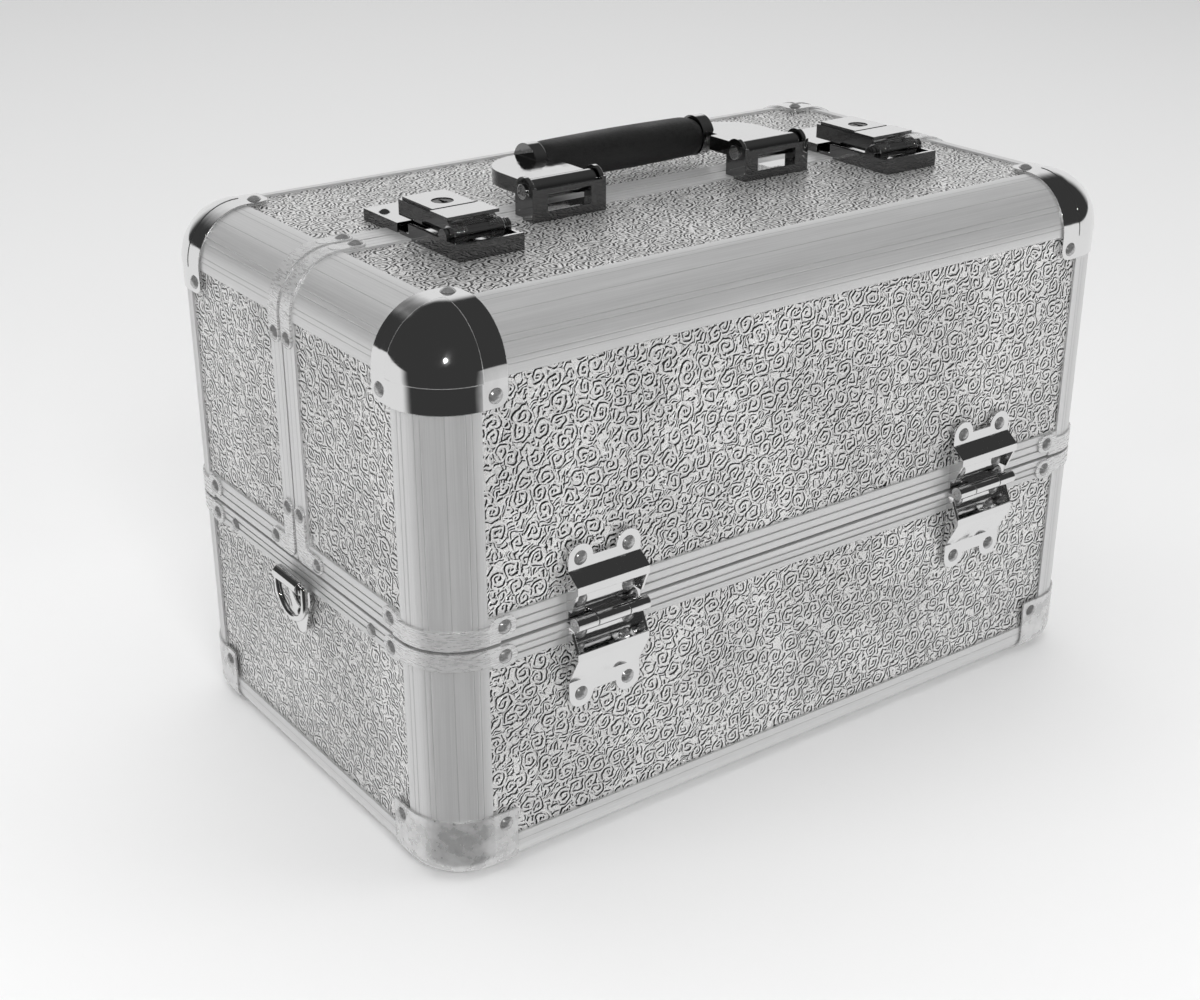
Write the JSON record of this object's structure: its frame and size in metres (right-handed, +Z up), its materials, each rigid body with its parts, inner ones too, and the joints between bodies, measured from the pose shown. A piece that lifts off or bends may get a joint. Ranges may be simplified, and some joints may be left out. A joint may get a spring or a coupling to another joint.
{
  "type": "makeup train case",
  "caption": "Hard-sided case that opens from a centre seam, lifting stair-step trays on each side; carried by a folding top handle.",
  "frame": {"origin": "on the floor, under the centre of the case", "axes": "+Z up, X along the long side, the lid with the handle on the -Y side"},
  "size_m": [0.3806, 0.232, 0.2552],
  "materials": {
    "foil_board": "silver foil laminate embossed with fine scrolls on a thin board",
    "rail_aluminium": "satin, drawn, with fine lines along its length",
    "chrome": "bright plated pressed steel",
    "cap_zinc": "dull zinc, faintly mottled",
    "plug_steel": "dark satin steel",
    "grip_rubber": "soft black, fine grained",
    "lining": "black flocked lining",
    "tray_plastic": "black, flock lined",
    "arm_steel": "zinc plated flat bar"
  },
  "bodies": {
    "base": {"base_bottom_panel": "foil_board", "base_long_panels": "foil_board", "base_end_panels": "foil_board", "base_bottom_rails": "rail_aluminium", "base_rim_rails": "rail_aluminium", "base_corner_posts": "rail_aluminium", "base_bottom_caps": "cap_zinc", "base_rim_brackets": "chrome", "base_lining": "lining", "base_rivets": "chrome", "d_ring_plates": "chrome", "hinge_lower_leaves": "chrome", "hinge_pins": "chrome", "arm_posts": "arm_steel"},
    "front_lid": {"front_lid_wall_panel": "foil_board", "front_lid_end_panels": "foil_board", "front_lid_top_panel": "foil_board", "front_lid_top_rail": "rail_aluminium", "front_lid_end_rails": "rail_aluminium", "front_lid_posts": "rail_aluminium", "front_lid_corner_caps": "chrome", "front_lid_rim_rails": "rail_aluminium", "front_lid_seam_rails": "rail_aluminium", "front_lid_brackets": "chrome", "front_lid_lining": "lining", "front_lid_rivets": "chrome", "front_hinge_leaves": "chrome", "handle_brackets": "chrome", "handle_pins": "chrome", "latch_bodies": "chrome"},
    "rear_lid": {"rear_lid_wall_panel": "foil_board", "rear_lid_end_panels": "foil_board", "rear_lid_top_panel": "foil_board", "rear_lid_top_rail": "rail_aluminium", "rear_lid_end_rails": "rail_aluminium", "rear_lid_posts": "rail_aluminium", "rear_lid_corner_caps": "chrome", "rear_lid_rim_rails": "rail_aluminium", "rear_lid_seam_rails": "rail_aluminium", "rear_lid_brackets": "chrome", "rear_lid_lining": "lining", "rear_lid_rivets": "chrome", "rear_hinge_leaves": "chrome", "latch_strikes": "chrome"},
    "handle": {"handle_ends": "chrome", "handle_grip": "grip_rubber"},
    "left_hasp": {"left_hasp": "chrome"},
    "right_hasp": {"right_hasp": "chrome"},
    "left_key_plug": {"left_key_plug": "plug_steel"},
    "right_key_plug": {"right_key_plug": "plug_steel"},
    "left_d_ring": {"left_d_ring": "chrome"},
    "right_d_ring": {"right_d_ring": "chrome"},
    "front_inner_arms": {"front_inner_arms": "arm_steel"},
    "front_outer_arms": {"front_outer_arms": "arm_steel"},
    "rear_inner_arms": {"rear_inner_arms": "arm_steel"},
    "rear_outer_arms": {"rear_outer_arms": "arm_steel"},
    "front_lower_tray": {"front_lower_tray": "tray_plastic"},
    "front_upper_tray": {"front_upper_tray": "tray_plastic"},
    "rear_lower_tray": {"rear_lower_tray": "tray_plastic"},
    "rear_upper_tray": {"rear_upper_tray": "tray_plastic"}
  },
  "joints": [
    {"name": "front_lid_hinge", "type": "hinge", "parent": "base", "child": "front_lid", "pos_m": [0, -0.113, 0.104], "axis": [1, 0, 0], "range_deg": [0, 95]},
    {"name": "rear_lid_hinge", "type": "hinge", "parent": "base", "child": "rear_lid", "pos_m": [0, 0.113, 0.104], "axis": [-1, 0, 0], "range_deg": [0, 95]},
    {"name": "handle_swing", "type": "hinge", "parent": "front_lid", "child": "handle", "pos_m": [0, -0.011, 0.246], "axis": [1, 0, 0], "range_deg": [0, 100]},
    {"name": "left_hasp_lift", "type": "hinge", "parent": "front_lid", "child": "left_hasp", "pos_m": [-0.113, -0.034, 0.2415], "axis": [1, 0, 0], "range_deg": [0, 110]},
    {"name": "right_hasp_lift", "type": "hinge", "parent": "front_lid", "child": "right_hasp", "pos_m": [0.113, -0.034, 0.2415], "axis": [1, 0, 0], "range_deg": [0, 110]},
    {"name": "left_key_turn", "type": "hinge", "parent": "left_hasp", "child": "left_key_plug", "pos_m": [-0.113, -0.01, 0.244], "axis": [0, 0, 1], "range_deg": [0, 90]},
    {"name": "right_key_turn", "type": "hinge", "parent": "right_hasp", "child": "right_key_plug", "pos_m": [0.113, -0.01, 0.244], "axis": [0, 0, 1], "range_deg": [0, 90]},
    {"name": "left_d_ring_swing", "type": "hinge", "parent": "base", "child": "left_d_ring", "pos_m": [-0.1871, 0, 0.097], "axis": [0, 1, 0], "range_deg": [0, 135]},
    {"name": "right_d_ring_swing", "type": "hinge", "parent": "base", "child": "right_d_ring", "pos_m": [0.1871, 0, 0.097], "axis": [0, -1, 0], "range_deg": [0, 135]},
    {"name": "front_inner_arms_swing", "type": "hinge", "parent": "base", "child": "front_inner_arms", "pos_m": [0, -0.066, 0.095], "axis": [1, 0, 0], "range_deg": [0, 62.2]},
    {"name": "front_outer_arms_swing", "type": "hinge", "parent": "base", "child": "front_outer_arms", "pos_m": [0, -0.088, 0.095], "axis": [1, 0, 0], "range_deg": [0, 62.2]},
    {"name": "front_lower_tray_level", "type": "hinge", "parent": "front_inner_arms", "child": "front_lower_tray", "pos_m": [0, -0.039, 0.14177], "axis": [-1, 0, 0], "range_deg": [0, 62.2]},
    {"name": "front_upper_tray_level", "type": "hinge", "parent": "front_inner_arms", "child": "front_upper_tray", "pos_m": [0, -0.012, 0.18853], "axis": [-1, 0, 0], "range_deg": [0, 62.2]},
    {"name": "rear_inner_arms_swing", "type": "hinge", "parent": "base", "child": "rear_inner_arms", "pos_m": [0, 0.066, 0.095], "axis": [-1, 0, 0], "range_deg": [0, 62.2]},
    {"name": "rear_outer_arms_swing", "type": "hinge", "parent": "base", "child": "rear_outer_arms", "pos_m": [0, 0.088, 0.095], "axis": [-1, 0, 0], "range_deg": [0, 62.2]},
    {"name": "rear_lower_tray_level", "type": "hinge", "parent": "rear_inner_arms", "child": "rear_lower_tray", "pos_m": [0, 0.039, 0.14177], "axis": [1, 0, 0], "range_deg": [0, 62.2]},
    {"name": "rear_upper_tray_level", "type": "hinge", "parent": "rear_inner_arms", "child": "rear_upper_tray", "pos_m": [0, 0.012, 0.18853], "axis": [1, 0, 0], "range_deg": [0, 62.2]}
  ],
  "couplings": [
    {"joint": "rear_lid_hinge", "follows": "front_lid_hinge", "ratio": 1},
    {"joint": "front_inner_arms_swing", "follows": "front_lid_hinge", "ratio": 0.65263},
    {"joint": "front_outer_arms_swing", "follows": "front_lid_hinge", "ratio": 0.65263},
    {"joint": "front_lower_tray_level", "follows": "front_lid_hinge", "ratio": 0.65263},
    {"joint": "front_upper_tray_level", "follows": "front_lid_hinge", "ratio": 0.65263},
    {"joint": "rear_inner_arms_swing", "follows": "front_lid_hinge", "ratio": 0.65263},
    {"joint": "rear_outer_arms_swing", "follows": "front_lid_hinge", "ratio": 0.65263},
    {"joint": "rear_lower_tray_level", "follows": "front_lid_hinge", "ratio": 0.65263},
    {"joint": "rear_upper_tray_level", "follows": "front_lid_hinge", "ratio": 0.65263}
  ]
}
